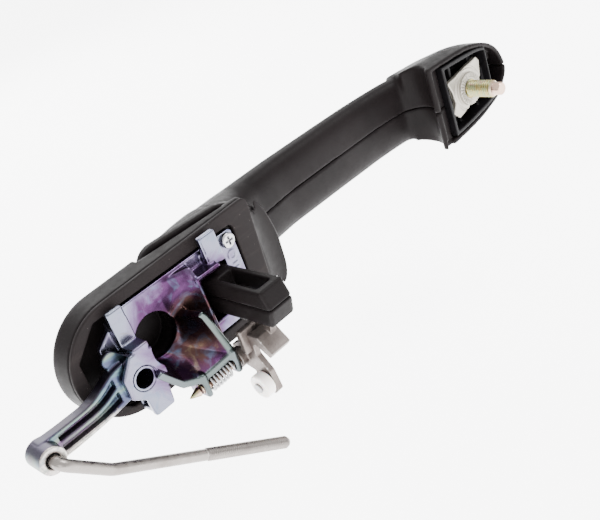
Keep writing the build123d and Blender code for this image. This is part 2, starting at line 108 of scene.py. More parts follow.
def add_studio():
    world = bpy.data.worlds.new("studio")
    bpy.context.scene.world = world
    world.use_nodes = True
    tree = world.node_tree
    background = tree.nodes["Background"]
    background.inputs["Color"].default_value = (1.0, 1.0, 1.0, 1.0)
    height = tree.nodes.new("ShaderNodeSeparateXYZ")
    tree.links.new(tree.nodes.new("ShaderNodeTexCoord").outputs["Generated"], height.inputs[0])
    glow = tree.nodes.new("ShaderNodeMapRange")
    glow.inputs["From Min"].default_value = 0.10
    glow.inputs["From Max"].default_value = 0.75
    glow.inputs["To Min"].default_value = HORIZON_GLOW
    glow.inputs["To Max"].default_value = ZENITH_GLOW
    tree.links.new(height.outputs["Z"], glow.inputs["Value"])
    tree.links.new(glow.outputs["Result"], background.inputs["Strength"])
    for name, place, size, watts in LIGHTS:
        add_area_light(name, place, LIGHT_TARGET, size, watts)
    mesh = bpy.data.meshes.new("floor")
    corners = [(x * FLOOR_HALF_WIDTH, y * FLOOR_HALF_WIDTH, FLOOR_Z)
               for x, y in ((-1, -1), (1, -1), (1, 1), (-1, 1))]
    mesh.from_pydata(corners, [], [(0, 1, 2, 3)])
    floor = bpy.data.objects.new("floor", mesh)
    bpy.context.scene.collection.objects.link(floor)
    material = bpy.data.materials.new("floor_paper")
    material.use_nodes = True
    shader = material.node_tree.nodes["Principled BSDF"]
    shader.inputs["Base Color"].default_value = (0.95, 0.95, 0.95, 1.0)
    shader.inputs["Roughness"].default_value = 0.9
    shader.inputs["Emission Color"].default_value = (1.0, 1.0, 1.0, 1.0)
    shader.inputs["Emission Strength"].default_value = FLOOR_GLOW
    mesh.materials.append(material)


# --- node helpers ---------------------------------------------------------------------------
class Nodes:
    """Short-hand for building one material's node tree."""

    def __init__(self, name):
        self.material = bpy.data.materials.new(name)
        self.material.use_nodes = True
        self.tree = self.material.node_tree
        self.shader = self.tree.nodes["Principled BSDF"]
        self.place = self.tree.nodes.new("ShaderNodeTexCoord").outputs["Object"]

    def add(self, kind, **values):
        node = self.tree.nodes.new(kind)
        for key, value in values.items():
            setattr(node, key, value)
        return node

    def link(self, source, target):
        self.tree.links.new(source, target)

    def feed(self, socket, value):
        if isinstance(value, bpy.types.NodeSocket):
            self.link(value, socket)
        elif isinstance(value, tuple) and len(value) == 3 and socket.type == "RGBA":
            socket.default_value = (*value, 1.0)
        else:
            socket.default_value = value

    def set(self, name, value):
        self.feed(self.shader.inputs[name], value)

    def noise(self, scale, detail=4.0, roughness=0.55, distortion=0.0, stretch=None):
        node = self.add("ShaderNodeTexNoise")
        node.inputs["Scale"].default_value = scale
        node.inputs["Detail"].default_value = detail
        node.inputs["Roughness"].default_value = roughness
        node.inputs["Distortion"].default_value = distortion
        vector = self.place
        if stretch is not None:
            mapping = self.add("ShaderNodeMapping")
            mapping.inputs["Scale"].default_value = stretch
            self.link(self.place, mapping.inputs["Vector"])
            vector = mapping.outputs["Vector"]
        self.link(vector, node.inputs["Vector"])
        return node.outputs["Fac"]

    def spots(self, scale):
        node = self.add("ShaderNodeTexVoronoi")
        node.inputs["Scale"].default_value = scale
        self.link(self.place, node.inputs["Vector"])
        return node.outputs["Distance"]

    def ramp(self, source, stops):
        node = self.add("ShaderNodeValToRGB")
        elements = node.color_ramp.elements
        while len(elements) < len(stops):
            elements.new(0.5)
        for element, (position, colour) in zip(elements, stops):
            element.position = position
            element.color = (*colour, 1.0)
        self.link(source, node.inputs["Fac"])
        return node.outputs["Color"]

    def span(self, source, low, high, start=0.3, end=0.7):
        node = self.add("ShaderNodeMapRange")
        node.inputs["From Min"].default_value = start
        node.inputs["From Max"].default_value = end
        node.inputs["To Min"].default_value = low
        node.inputs["To Max"].default_value = high
        self.link(source, node.inputs["Value"])
        return node.outputs["Result"]

    def mix(self, factor, first, second, blend="MIX"):
        node = self.add("ShaderNodeMix", data_type="RGBA", blend_type=blend)
        self.feed(node.inputs["Factor"], factor)
        self.feed(node.inputs[6], first)
        self.feed(node.inputs[7], second)
        return node.outputs[2]

    def math(self, operation, first, second=0.0):
        node = self.add("ShaderNodeMath", operation=operation)
        self.feed(node.inputs[0], first)
        self.feed(node.inputs[1], second)
        return node.outputs[0]

    def axis(self, name):
        node = self.add("ShaderNodeSeparateXYZ")
        self.link(self.place, node.inputs[0])
        return node.outputs[name]

    def distance_to(self, point):
        node = self.add("ShaderNodeVectorMath", operation="DISTANCE")
        self.link(self.place, node.inputs[0])
        node.inputs[1].default_value = point
        return node.outputs["Value"]

    def facing(self, direction):
        """How far the surface faces a fixed direction of the object, from -1 to 1."""
        geometry = self.add("ShaderNodeNewGeometry")
        node = self.add("ShaderNodeVectorMath", operation="DOT_PRODUCT")
        self.link(geometry.outputs["Normal"], node.inputs[0])
        node.inputs[1].default_value = direction
        return node.outputs["Value"]

    def edge_wear(self, start=0.52, end=0.60):
        geometry = self.add("ShaderNodeNewGeometry")
        return self.span(geometry.outputs["Pointiness"], 0.0, 1.0, start, end)

    def bump(self, height, strength, distance, below=None):
        node = self.add("ShaderNodeBump")
        node.inputs["Strength"].default_value = strength
        node.inputs["Distance"].default_value = distance
        self.link(height, node.inputs["Height"])
        if below is not None:
            self.link(below, node.inputs["Normal"])
        return node.outputs["Normal"]


# --- materials -------------------------------------------------------------------------------
def moulded_plastic(name, dark, light, rough=(0.38, 0.55), grain=0.30):
    n = Nodes(name)
    broad = n.noise(34.0, 5.0)
    scuff = n.noise(300.0, 6.0, 0.7)
    dust = n.span(n.spots(900.0), 1.0, 0.0, 0.02, 0.10)
    body = n.mix(n.span(broad, 0.0, 1.0), dark, light)
    body = n.mix(n.math("MULTIPLY", dust, n.span(scuff, 0.0, 0.30, 0.5, 0.8)), body, (0.12, 0.11, 0.10))
    worn = n.math("MULTIPLY", n.edge_wear(0.54, 0.64), 0.15)
    n.set("Base Color", n.mix(worn, body, tuple(c * 3.2 for c in light)))
    n.set("Roughness", n.span(scuff, rough[0], rough[1]))
    fine = n.bump(n.noise(2600.0, 2.0), grain, 0.00005)
    n.set("Normal", n.bump(broad, 0.12, 0.0005, fine))
    n.set("Specular IOR Level", 0.06)
    return n.material


def rubber(name):
    n = Nodes(name)
    broad = n.noise(60.0, 6.0, 0.65)
    fine = n.noise(1400.0, 4.0, 0.7)
    streaks = n.noise(240.0, 4.0, 0.6, 0.6, (0.15, 1.0, 1.0))
    body = n.mix(n.span(broad, 0.0, 1.0), (0.0060, 0.0046, 0.0048), (0.0105, 0.0080, 0.0082))
    body = n.mix(n.span(streaks, 0.0, 0.4, 0.52, 0.75), body, (0.022, 0.018, 0.017))
    specks = n.span(n.spots(520.0), 1.0, 0.0, 0.015, 0.06)
    n.set("Base Color", n.mix(n.math("MULTIPLY", specks, 0.5), body, (0.30, 0.27, 0.25)))
    n.set("Roughness", n.span(broad, 0.55, 0.75))
    n.set("Normal", n.bump(fine, 0.35, 0.00008))
    n.set("Specular IOR Level", 0.08)
    return n.material


def passivated_zinc(name, bowl=(-0.012, 0.006, -0.003)):
    """Chromated die casting: lilac flats, purple and brown in the bowl with painted shade that darkens
    it towards the bowl's middle, blue and yellow bands, and a painted highlight along the rim's top.
    """
    n = Nodes(name)
    cloud = n.noise(55.0, 6.0, 0.6, 0.8)
    bands = n.noise(120.0, 3.0, 0.5, 1.6)
    # painted shade: this mask darkens the film towards a point in the bowl, where shade falls in the
    # hollow; film adds it to the cloud noise of the chromate film's own colour changes, so the ramp
    # below gives both
    painted_bowl_shade = n.span(n.distance_to(bowl), 1.0, 0.0, 0.008, 0.030)
    film = n.math("ADD", n.math("MULTIPLY", painted_bowl_shade, 0.44), n.math("MULTIPLY", cloud, 0.62))
    tint = n.ramp(film, [
        (0.18, (0.120, 0.142, 0.170)),
        (0.30, (0.128, 0.128, 0.172)),
        (0.42, (0.092, 0.070, 0.124)),
        (0.52, (0.044, 0.018, 0.050)),
        (0.62, (0.018, 0.007, 0.020)),
        (0.74, (0.032, 0.013, 0.020)),
        (0.88, (0.060, 0.034, 0.024)),
    ])
    blue = n.span(bands, 0.0, 0.50, 0.52, 0.74)
    tint = n.mix(blue, tint, (0.055, 0.090, 0.140))
    yellow = n.span(n.noise(85.0, 4.0, 0.6, 2.2), 0.0, 0.5, 0.60, 0.78)
    tint = n.mix(yellow, tint, (0.130, 0.104, 0.066))
    # painted highlight: a paler grey-green band on the rim's top, above 13.2 mm in Y, where the ridge
    # catches the light
    rim = n.span(n.axis("Y"), 0.0, 0.8, 0.0132, 0.0138)
    tint = n.mix(rim, tint, (0.070, 0.092, 0.086))
    n.set("Base Color", tint)
    n.set("Metallic", 1.0)
    n.set("Roughness", n.span(cloud, 0.20, 0.36))
    fine = n.bump(n.noise(900.0, 4.0), 0.25, 0.00006)
    n.set("Normal", n.bump(n.noise(160.0, 3.0), 0.25, 0.0003, fine))
    return n.material


def lever_casting(name):
    """Lock lever: blue and green interference film, cream where it is thin, with painted shade on the
    faces that turn towards +Z.
    """
    n = Nodes(name)
    cloud = n.noise(70.0, 5.0, 0.6, 1.2, (0.5, 1.0, 1.4))
    tint = n.ramp(cloud, [
        (0.30, (0.034, 0.030, 0.056)),
        (0.42, (0.046, 0.056, 0.092)),
        (0.50, (0.066, 0.105, 0.118)),
        (0.57, (0.110, 0.135, 0.116)),
        (0.66, (0.088, 0.056, 0.100)),
        (0.78, (0.044, 0.028, 0.056)),
    ])
    tint = n.mix(n.math("MULTIPLY", n.edge_wear(0.56, 0.63), 0.8), tint, (0.240, 0.235, 0.200))
    # painted shade: faces that turn towards the part's +Z are darkened to stand in for the dark
    # reflection they show
    tint = n.mix(n.span(n.facing((0.0, 0.0, 1.0)), 0.0, 0.85, 0.25, 0.75), tint, (0.030, 0.021, 0.036))
    underside = n.span(n.axis("Z"), 1.0, 0.0, -0.0104, -0.0094)
    along_arm = n.span(n.axis("X"), 0.0, 1.0, 0.026, 0.030)
    edge = n.math("MULTIPLY", underside, along_arm)
    eye_face = n.span(n.axis("Y"), 0.0, 1.0, 0.0122, 0.0127)
    worn = n.span(n.noise(500.0, 6.0, 0.8), 0.3, 1.0, 0.40, 0.54)
    flash = n.math("MULTIPLY", n.math("MAXIMUM", edge, eye_face), worn)
    n.set("Base Color", n.mix(n.math("MULTIPLY", flash, 0.85), tint, (0.46, 0.42, 0.39)))
    n.set("Metallic", 1.0)
    n.set("Roughness", n.span(cloud, 0.26, 0.44))
    fine = n.bump(n.noise(1100.0, 4.0), 0.30, 0.00006)
    n.set("Normal", n.bump(n.noise(220.0, 3.0), 0.25, 0.0002, fine))
    return n.material


def rough_casting(name, dark, light, pits=0.6, metallic=0.9, rough=(0.35, 0.6)):
    n = Nodes(name)
    cloud = n.noise(90.0, 6.0, 0.65)
    grit = n.noise(700.0, 5.0, 0.75)
    hole = n.span(n.spots(420.0), 1.0, 0.0, 0.03, 0.16)
    body = n.mix(n.span(cloud, 0.0, 1.0), dark, light)
    body = n.mix(n.math("MULTIPLY", hole, pits), body, tuple(c * 0.35 for c in dark))
    body = n.mix(n.math("MULTIPLY", n.edge_wear(), 0.7), body, (0.451, 0.440, 0.418))
    n.set("Base Color", body)
    n.set("Metallic", metallic)
    n.set("Roughness", n.span(grit, rough[0], rough[1]))
    holes = n.bump(n.math("SUBTRACT", 1.0, hole), 0.4 * pits, 0.0002)
    n.set("Normal", n.bump(grit, 0.45, 0.00012, holes))
    return n.material


def bright_steel(name, tint, rough=(0.16, 0.32), stretch=(1.0, 1.0, 1.0), stain=(0.165, 0.154, 0.143)):
    n = Nodes(name)
    line = n.noise(500.0, 4.0, 0.6, 0.0, stretch)
    cloud = n.noise(110.0, 5.0, 0.6)
    body = n.mix(n.span(cloud, 0.0, 0.55, 0.5, 0.75), tint, stain)
    n.set("Base Color", body)
    n.set("Metallic", 1.0)
    n.set("Roughness", n.span(line, rough[0], rough[1]))
    n.set("Normal", n.bump(line, 0.15, 0.00004))
    return n.material


def yellow_chromate(name):
    n = Nodes(name)
    cloud = n.noise(260.0, 4.0, 0.6, 0.8)
    body = n.ramp(cloud, [
        (0.30, (0.209, 0.182, 0.072)),
        (0.46, (0.275, 0.220, 0.094)),
        (0.56, (0.198, 0.231, 0.121)),
        (0.68, (0.286, 0.149, 0.121)),
    ])
    bare_end = n.span(n.axis("Y"), 0.0, 1.0, 0.0118, 0.0128)
    copper = n.mix(n.span(cloud, 0.0, 1.0), (0.440, 0.286, 0.220), (0.473, 0.363, 0.286))
    n.set("Base Color", n.mix(bare_end, body, copper))
    n.set("Metallic", 1.0)
    n.set("Roughness", n.span(cloud, 0.20, 0.36))
    n.set("Normal", n.bump(n.noise(1500.0, 3.0), 0.2, 0.00004))
    return n.material


def white_plastic(name):
    n = Nodes(name)
    cloud = n.noise(140.0, 5.0)
    body = n.mix(n.span(cloud, 0.0, 1.0), (0.80, 0.74, 0.70), (0.90, 0.87, 0.84))
    specks = n.span(n.spots(600.0), 1.0, 0.0, 0.02, 0.12)
    grime = n.math("MULTIPLY", specks, n.span(cloud, 0.0, 0.8, 0.5, 0.7))
    n.set("Base Color", n.mix(grime, body, (0.30, 0.24, 0.20)))
    n.set("Roughness", n.span(cloud, 0.30, 0.45))
    n.set("Subsurface Weight", 0.15)
    n.set("Subsurface Scale", 0.002)
    n.set("Normal", n.bump(n.noise(900.0, 3.0), 0.15, 0.00005))
    return n.material


def make_materials():
    return {
        "moulded_black": moulded_plastic(
            "moulded_black", (0.0036, 0.0027, 0.0028), (0.0060, 0.0045, 0.0047)),
        "insert_black": moulded_plastic(
            "insert_black", (0.0030, 0.0028, 0.0033), (0.0055, 0.0050, 0.0056), (0.25, 0.45)),
        "gasket_rubber": rubber("gasket_rubber"),
        "passivated_zinc": passivated_zinc("passivated_zinc"),
        "lever_zinc": lever_casting("lever_zinc"),
        "raw_zinc": rough_casting(
            "raw_zinc", (0.264, 0.246, 0.210), (0.372, 0.348, 0.300), 0.15, 0.75),
        "cast_lever": rough_casting("cast_lever", (0.090, 0.072, 0.066), (0.180, 0.156, 0.144)),
        "zinc_screw": bright_steel("zinc_screw", (0.330, 0.330, 0.348)),
        "spring_wire": bright_steel("spring_wire", (0.270, 0.270, 0.276)),
        "yellow_steel": yellow_chromate("yellow_steel"),
        "rod_steel": bright_steel(
            "rod_steel", (0.198, 0.180, 0.168), (0.22, 0.42), stain=(0.102, 0.084, 0.075)),
        "white_plastic": white_plastic("white_plastic"),
    }


def node_slots():
    return {part["node"]: part["material_slot"] for part in frame["record"]["subparts"]}


def assign(obj, material):
    obj.data.materials.clear()
    obj.data.materials.append(material)


# --- distance fields: soft moulded and cast shapes --------------------------------------------
class Grid:
    """Regular grid over a box, in millimetres, with x, y and z ready to broadcast."""

    def __init__(self, low, high, step):
        self.low = np.array(low, np.float32)
        self.step = step
        counts = [ceil((top - start) / step) + 1 for start, top in zip(low, high)]
        axes = [np.float32(start) + np.float32(step) * np.arange(count, dtype=np.float32)
                for start, count in zip(low, counts)]
        self.x = axes[0][:, None, None]
        self.y = axes[1][None, :, None]
        self.z = axes[2][None, None, :]


def union(a, b, soft=0.0):
    if soft == 0.0:
        return np.minimum(a, b)
    h = np.clip(0.5 + 0.5 * (b - a) / soft, 0, 1)
    return b + (a - b) * h - soft * h * (1 - h)


def cut(a, b, soft=0.0):
    return -union(-a, b, soft)


def overlap(a, b, soft=0.0):
    return -union(-a, -b, soft)


def polygon(u, v, points, grow=0.0):
    """Signed distance to a closed outline in one plane."""
    u, v = np.broadcast_arrays(u, v)
    distance = np.full(u.shape, 1e9, np.float32)
    inside = np.zeros(u.shape, bool)
    for (ax, ay), (bx, by) in zip(points, points[1:] + points[:1]):
        ex, ey = bx - ax, by - ay
        if np.hypot(ex, ey) < 1e-6:
            continue
        t = np.clip(((u - ax) * ex + (v - ay) * ey) / (ex * ex + ey * ey), 0, 1)
        distance = np.minimum(distance, np.hypot(u - ax - t * ex, v - ay - t * ey))
        if ey != 0:
            inside ^= ((v < ay) != (v < by)) & (u < ax + ex * (v - ay) / ey)
    return np.where(inside, -distance, distance) - grow


def plate(outline, depth, low, high, soft=0.0):
    """Prism of an outline's field between two depths, with rounded edges."""
    wall = np.maximum(low - depth, depth - high) + soft
    side = outline + soft
    outer = np.hypot(np.maximum(side, 0), np.maximum(wall, 0))
    return np.minimum(np.maximum(side, wall), 0) + outer - soft


def block(g, x0, x1, y0, y1, z0, z1, soft=0.0):
    spans = ((g.x, x0, x1), (g.y, y0, y1), (g.z, z0, z1))
    sides = [np.maximum(low - axis, axis - high) + soft for axis, low, high in spans]
    inner = np.minimum(np.maximum(np.maximum(sides[0], sides[1]), sides[2]), 0)
    outer = np.sqrt(sum(np.maximum(side, 0) ** 2 for side in sides))
    return inner + outer - soft


def disc(u, v, centre_u, centre_v, diameter):
    return np.hypot(u - centre_u, v - centre_v) - diameter / 2


def arc(centre, radius, start, end, count=12):
    """Points on an arc, angles in degrees."""
    angles = [radians(start + (end - start) * i / count) for i in range(count + 1)]
    return [(centre[0] + radius * cos(a), centre[1] + radius * sin(a)) for a in angles]


def curve(points, count=8):
    """Smooth line through the points, as a list of short steps."""
    ends = [points[0]] + points + [points[-1]]
    line = []
    for p, q, r, s in zip(ends, ends[1:], ends[2:], ends[3:]):
        for i in range(count):
            t = i / count
            line.append(tuple(
                0.5 * (2 * b + (c - a) * t + (2 * a - 5 * b + 4 * c - d) * t ** 2
                       + (3 * b - a - 3 * c + d) * t ** 3)
                for a, b, c, d in zip(p, q, r, s)))
    return line + [points[-1]]


def profile(x, stations, column):
    """Value along X from a few stations, eased between them."""
    places = [station[0] for station in stations]
    values = [station[column] for station in stations]
    fine = np.arange(min(places), max(places), 0.5)
    eased = np.interp(fine, places[::-1], values[::-1])
    kernel = np.hanning(17)
    padded = np.pad(eased, 8, mode="edge")
    eased = np.convolve(padded, kernel / kernel.sum(), "valid")
    return np.interp(x, fine, eased).astype(np.float32)


def surface(field, grid):
    """Quad surface where the field crosses zero: one point in each mixed cell."""
    inside = field < 0
    shape = tuple(n - 1 for n in field.shape)
    total = np.zeros(shape + (3,), np.float32)
    count = np.zeros(shape, np.int16)
    crossings = []
    for axis in range(3):
        lower = tuple(slice(0, -1) if k == axis else slice(None) for k in range(3))
        upper = tuple(slice(1, None) if k == axis else slice(None) for k in range(3))
        crossed = inside[lower] != inside[upper]
        index = np.argwhere(crossed)
        place = index.astype(np.float32)
        first = field[lower][crossed]
        place[:, axis] += first / (first - field[upper][crossed])
        u, v = (axis + 1) % 3, (axis + 2) % 3
        ring = []
        for back_u, back_v in ((1, 1), (0, 1), (0, 0), (1, 0)):
            cell = index.copy()
            cell[:, u] -= back_u
            cell[:, v] -= back_v
            np.add.at(total, tuple(cell.T), place)
            np.add.at(count, tuple(cell.T), 1)
            ring.append(cell)
        crossings.append((ring, inside[lower][crossed]))
    used = count > 0
    number = np.full(shape, -1, np.int64)
    number[used] = np.arange(used.sum())
    points = total[used] / count[used][:, None] * grid.step + grid.low
    quads = []
    for ring, outward in crossings:
        face = np.stack([number[tuple(cell.T)] for cell in ring], 1)
        face[~outward] = face[~outward][:, ::-1]
        quads.append(face)
    return points, np.concatenate(quads)


def relax(points, quads, rounds, amount=0.5):
    """Even out the surface by moving each point towards its neighbours."""
    starts = quads.ravel()
    ends = np.roll(quads, -1, axis=1).ravel()
    for _ in range(rounds):
        total = np.zeros_like(points)
        count = np.zeros(len(points), np.float32)
        for a, b in ((starts, ends), (ends, starts)):
            np.add.at(total, a, points[b])
            np.add.at(count, a, 1)
        points = points + amount * (total / count[:, None] - points)
    return points


def mesh_object(name, points, faces, material):
    """Mesh object from points in millimetres."""
    mesh = bpy.data.meshes.new(name)
    mesh.from_pydata((np.asarray(points, float) * MM).tolist(), [], [list(f) for f in faces])
    mesh.update()
    mesh.shade_smooth()
    obj = bpy.data.objects.new(name, mesh)
    bpy.context.scene.collection.objects.link(obj)
    mesh.materials.append(material)
    return obj


def field_object(name, field, grid, material, rounds=2):
    points, quads = surface(field, grid)
    return mesh_object(name, relax(points, quads, rounds), quads.tolist(), material)


def place_piece(obj, nodes):
    """Ride the body of the CAD nodes that the piece stands for."""
    nodes = [nodes] if isinstance(nodes, str) else nodes
    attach(obj, frame["nodes"][nodes[0]]["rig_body"])
    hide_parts(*nodes)


def softened(name, node, material, voxel, rounds):
    """Copy of a CAD node with the small edge radii of a casting."""
    copy = bpy.data.objects.new(name, frame["nodes"][node].data.copy())
    bpy.context.scene.collection.objects.link(copy)
    remesh = copy.modifiers.new("remesh", "REMESH")
    remesh.mode = "VOXEL"
    remesh.voxel_size = voxel * MM
    smooth = copy.modifiers.new("smooth", "SMOOTH")
    smooth.factor = 0.5
    smooth.iterations = rounds
    graph = bpy.context.evaluated_depsgraph_get()
    mesh = bpy.data.meshes.new_from_object(copy.evaluated_get(graph))
    copy.modifiers.clear()
    copy.data = mesh
    mesh.shade_smooth()
    assign(copy, material)
    return copy


# --- swept and turned shapes -------------------------------------------------------------------
def tube(points, radius, sides=14):
    """Points and faces of round wire along a line, with one radius or one for each point."""
    line = [Vector(p) for p in points]
    radii = radius if isinstance(radius, list) else [radius] * len(line)
    ways = [(b - a).normalized() for a, b in zip(line, line[1:])]
    ways = [ways[0]] + [(a + b).normalized() for a, b in zip(ways, ways[1:])] + [ways[-1]]
    across = ways[0].orthogonal().normalized()
    rings = []
    for place, way, radius in zip(line, ways, radii):
        across = (across - way * across.dot(way)).normalized()
        other = way.cross(across)
        for i in range(sides):
            angle = 2 * pi * i / sides
            rings.append(place + radius * (cos(angle) * across + sin(angle) * other))
    faces = []
    for ring in range(len(line) - 1):
        for i in range(sides):
            j = (i + 1) % sides
            a, b = ring * sides, (ring + 1) * sides
            faces.append((a + i, a + j, b + j, b + i))
    faces.append(tuple(range(sides))[::-1])
    faces.append(tuple(range((len(line) - 1) * sides, len(line) * sides)))
    return np.array([tuple(p) for p in rings]), faces


def turned(stations, pitch=0.0, depth=0.0, sides=40):
    """Turned bar along local Z from (z, radius, threaded) stations, with helical threads."""
    rows = []
    for (z0, r0, cut0), (z1, r1, cut1) in zip(stations, stations[1:]):
        steps = max(1, round((z1 - z0) / (pitch / 10))) if cut0 and cut1 and pitch else 1
        for i in range(steps):
            t = i / steps
            rows.append((z0 + (z1 - z0) * t, r0 + (r1 - r0) * t, cut0 and cut1))
    rows.append((stations[-1][0], stations[-1][1], False))
    points = []
    for z, radius, threaded in rows:
        for i in range(sides):
            r = radius
            if threaded:
                phase = (z / pitch - i / sides) % 1.0
                r -= depth * min(1.0, max(0.0, 2.4 * abs(phase - 0.5) - 0.10))
            angle = 2 * pi * i / sides
            points.append((r * cos(angle), r * sin(angle), z))
    faces = []
    for row in range(len(rows) - 1):
        for i in range(sides):
            j = (i + 1) % sides
            a, b = row * sides, (row + 1) * sides
            faces.append((a + i, a + j, b + j, b + i))
    faces.append(tuple(range(sides))[::-1])
    faces.append(tuple(range((len(rows) - 1) * sides, len(rows) * sides)))
    return np.array(points), faces


def placed(points, origin, way):
    """Turn points from local Z to a direction and move them to an origin."""
    turn = Vector(way).to_track_quat("Z", "X").to_matrix()
    return points @ np.array(turn).T + np.array(origin)


def joined(parts):
    points, faces, start = [], [], 0
    for part_points, part_faces in parts:
        points.append(np.asarray(part_points, float))
        faces += [tuple(i + start for i in face) for face in part_faces]
        start += len(part_points)
    return np.concatenate(points), faces


# --- grip --------------------------------------------------------------------------------------
# x, inner face y, widest y, street face y, half height, inner squareness
GRIP_STATIONS = [
    (-11.5, -10.4, -12.0, -18.0, 24.6, 8.0),
    (-20.0, -9.0, -10.5, -22.5, 25.0, 8.0),
    (-26.0, -8.2, -9.8, -25.5, 25.0, 8.0),
    (-35.0, -7.0, -9.0, -30.0, 25.0, 8.0),
    (-44.0, -6.0, -8.5, -33.5, 24.6, 7.0),
    (-50.0, -6.0, -9.5, -35.5, 23.2, 5.0),
    (-56.0, -8.5, -14.0, -37.2, 21.8, 4.0),
    (-62.0, -12.5, -20.0, -38.6, 20.0, 3.5),
    (-70.0, -18.5, -27.0, -40.0, 17.8, 3.0),
    (-80.0, -23.0, -31.5, -41.0, 16.5, 3.0),
    (-98.0, -25.2, -33.2, -41.4, 16.3, 3.0),
    (-131.0, -25.2, -32.6, -40.6, 16.3, 3.0),
    (-149.0, -25.0, -32.0, -39.6, 16.3, 3.0),
    (-158.0, -24.8, -31.6, -39.0, 16.2, 3.0),
    (-168.0, -23.8, -30.6, -38.3, 16.1, 3.0),
    (-176.0, -22.5, -29.5, -37.6, 16.0, 3.0),
    (-190.0, -18.0, -26.0, -36.0, 15.5, 3.0),
    (-205.0, -12.0, -20.0, -33.0, 14.0, 3.0),
]
FOOT_STREET_FACE = [(-176.0, -37.6), (-190.0, -36.5), (-200.0, -35.5), (-208.0, -33.0), (-215.0, -29.0),
                    (-221.0, -24.5), (-226.0, -19.8), (-231.0, -16.0), (-236.0, -13.5)]
LEAF = curve([(-176.5, 21.8), (-190, 21.4), (-205, 20.4), (-215, 18.2), (-223, 15.0),
              (-228.6, 10.4), (-231.7, 5.0), (-233.0, -0.8), (-231.2, -5.6), (-224, -12.0),
              (-215, -14.9), (-205, -17.0), (-190, -18.5), (-176.5, -19.0)], 4)
BLADE = (arc((-19.0, 17.5), 7.5, 0, 90) + curve([(-48, 25.0), (-58, 21.0), (-68, 12)], 6)
         + curve([(-68, -12), (-58, -21.0), (-48, -25.0)], 6) + arc((-19.0, -17.5), 7.5, 270, 360))
WEDGE = [(-9.5, -10.0), (-57.0, -4.8), (-80.0, -13.6)]
BLADE_GAP = 0.6
BLADE_LIP = 4.0
BLADE_END_X = -50.0
SCOOP = (-172.7, -12.5, 20.0)
FOOT_WALL = 2.4
FOOT_HOLLOW_Y = -3.0
DEEP_HOLLOW_X = -184.8
DEEP_HOLLOW_Y = -13.5
HINGE = (-223.0, -7.5, 3.0)
HINGE_BOSS_Z = (5.4, 13.0)
HINGE_PIN_END = 7.6
ARM = (-37.0, -25.5)
ARM_PROFILE = [(34.0, 7.5), (36.3, 0.0), (34.0, -7.5), (-16.0, -7.5), (-16.0, 7.5)]
ARM_SLOT = (-34.6, -27.8, 8.0, 30.2)
GRIP_BOX = (-235.2, -43.2, -27.0), (-9.6, 37.8, 27.0)
GRIP_STEP = 0.6
SEAM_HALF_GAP = 0.04


def wedge_back(x, gap):
    """Depth of the plate's wedge-shaped back along X."""
    places = [p[0] for p in WEDGE]
    depths = [p[1] - gap for p in WEDGE]
    return np.interp(x, places[::-1], depths[::-1]).astype(np.float32)


def super_section(g):
    """Bar and dome: flat-backed oval section that changes along X."""
    inner, middle, street, half, square = (profile(g.x, GRIP_STATIONS, k) for k in range(1, 6))
    across = g.y - middle
    power = np.where(across < 0, np.float32(2.3), square)
    reach = np.where(across < 0, middle - street, inner - middle)
    u = np.maximum(np.abs(across) / reach, 0.05)
    v = np.maximum(np.abs(g.z + 0.4 * np.clip((-60 - g.x) / 40, 0, 1)) / half, 0.05)
    total = u ** power + v ** power
    radius = total ** (1 / power)
    slope = total ** (1 / power - 1) * np.hypot(u ** (power - 1) / reach, v ** (power - 1) / half)
    return (radius - 1) / slope


def grip_field(g):
    bar = np.maximum(super_section(g), GRIP_STATIONS[-1][0] - g.x)
    planform = polygon(g.x, g.z, BLADE)
    over_plate = np.where(g.x > BLADE_END_X, planform, np.float32(-30.0))
    bar = overlap(bar, over_plate, 4.0)
    edge = wedge_back(g.x, BLADE_GAP)
    lip = plate(planform, g.y - edge, -BLADE_LIP, 0.0, 0.7)
    body = union(bar, lip, 2.0)
    leaf = polygon(g.x, g.z, LEAF)
    taper = 0.33 * np.logaddexp(0, (-13.0 - g.y) / 2.0) * 2.0
    street = profile(g.x, FOOT_STREET_FACE, 1)
    steep = np.hypot(1, np.gradient(street.ravel(), g.step)).astype(np.float32)[:, None, None]
    foot = overlap(leaf + taper, (street - g.y) / steep, 5.0)
    body = union(body, foot, 3.0)
    body = overlap(body, g.y + 0.6, 0.6)
    body = cut(body, disc(g.x, g.y, *SCOOP), 1.0)
    body = np.maximum(body, np.where(g.x < -60, np.float32(-9.0), g.y - edge))
    hollow = leaf + FOOT_WALL
    body = cut(body, np.maximum(hollow, FOOT_HOLLOW_Y - g.y), 0.3)
    deep = np.maximum(hollow, DEEP_HOLLOW_Y - g.y)
    body = cut(body, np.maximum(deep, g.x - DEEP_HOLLOW_X), 0.3)
    inner, outer = HINGE_BOSS_Z
    boss = block(g, HINGE[0] - 3.6, HINGE[0] + 3.6, -14.5, HINGE[1] + 3.2, -outer, outer, 0.5)
    boss = np.maximum(np.maximum(boss, leaf + 1.0), inner - np.abs(g.z))
    body = union(body, boss, 0.5)
    pin = np.maximum(disc(g.x, g.y, *HINGE), np.abs(g.z) - HINGE_PIN_END)
    body = np.maximum(body, -pin)
    body = cut(body, block(g, -182.5, -177.7, -2.6, 3.0, -26.0, -15.0, 0.3), 0.3)
    arm = plate(polygon(g.y, g.z, ARM_PROFILE), g.x, *ARM, 0.9)
    arm = cut(arm, block(g, *ARM_SLOT, -20, 20, 0.8), 0.7)
    return union(body, arm, 0.8)


